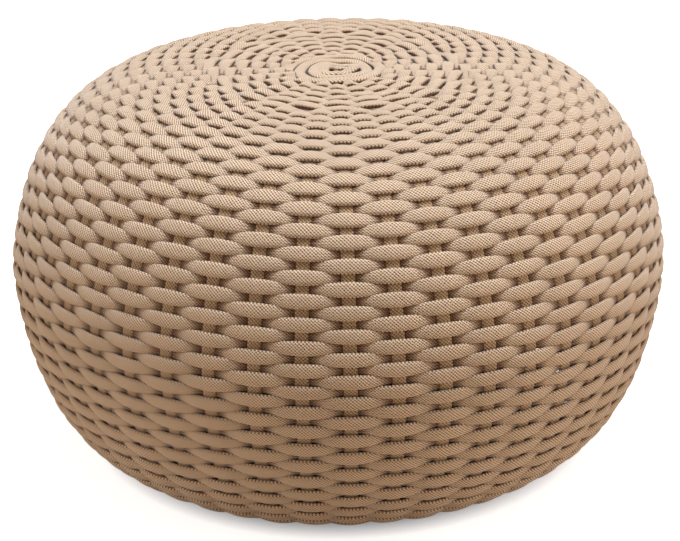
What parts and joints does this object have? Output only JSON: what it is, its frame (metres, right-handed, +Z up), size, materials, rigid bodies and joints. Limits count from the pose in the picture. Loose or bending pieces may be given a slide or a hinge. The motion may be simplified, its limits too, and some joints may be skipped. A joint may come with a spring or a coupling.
{
  "type": "outdoor ottoman footstool",
  "caption": "Round, low outdoor footstool: a hollow pouf of flat braided cord woven over and under a cage of thin ribs, with a flat base ring on small glides.",
  "frame": {"origin": "on the floor, under the middle of the stool", "axes": "+Z up; the stool is round about Z, and +X runs along the first long rib"},
  "size_m": [0.5994, 0.5987, 0.3447],
  "materials": {
    "cord": "flat braided outdoor cord, matt",
    "rib_strap": "flat aluminium bar, sleeved in the same braid as the cord",
    "frame": "powder coated, matt",
    "glide": "moulded, matt"
  },
  "bodies": {
    "root": {"hub_plate": "frame", "centre_coil": "cord", "rib_01": "rib_strap", "rib_02": "rib_strap", "rib_03": "rib_strap", "rib_04": "rib_strap", "rib_05": "rib_strap", "rib_06": "rib_strap", "rib_07": "rib_strap", "rib_08": "rib_strap", "rib_09": "rib_strap", "rib_10": "rib_strap", "rib_11": "rib_strap", "rib_12": "rib_strap", "rib_13": "rib_strap", "rib_14": "rib_strap", "rib_15": "rib_strap", "rib_16": "rib_strap", "rib_17": "rib_strap", "rib_18": "rib_strap", "rib_19": "rib_strap", "rib_20": "rib_strap", "rib_21": "rib_strap", "rib_22": "rib_strap", "rib_23": "rib_strap", "rib_24": "rib_strap", "short_rib_cage": "rib_strap", "base_ring": "frame", "weft_a_1": "cord", "weft_a_2": "cord", "weft_a_3": "cord", "weft_b_1": "cord", "weft_b_2": "cord", "weft_b_3": "cord", "glide_1": "glide", "glide_2": "glide", "glide_3": "glide", "glide_4": "glide", "glide_5": "glide", "glide_6": "glide"}
  },
  "joints": []
}
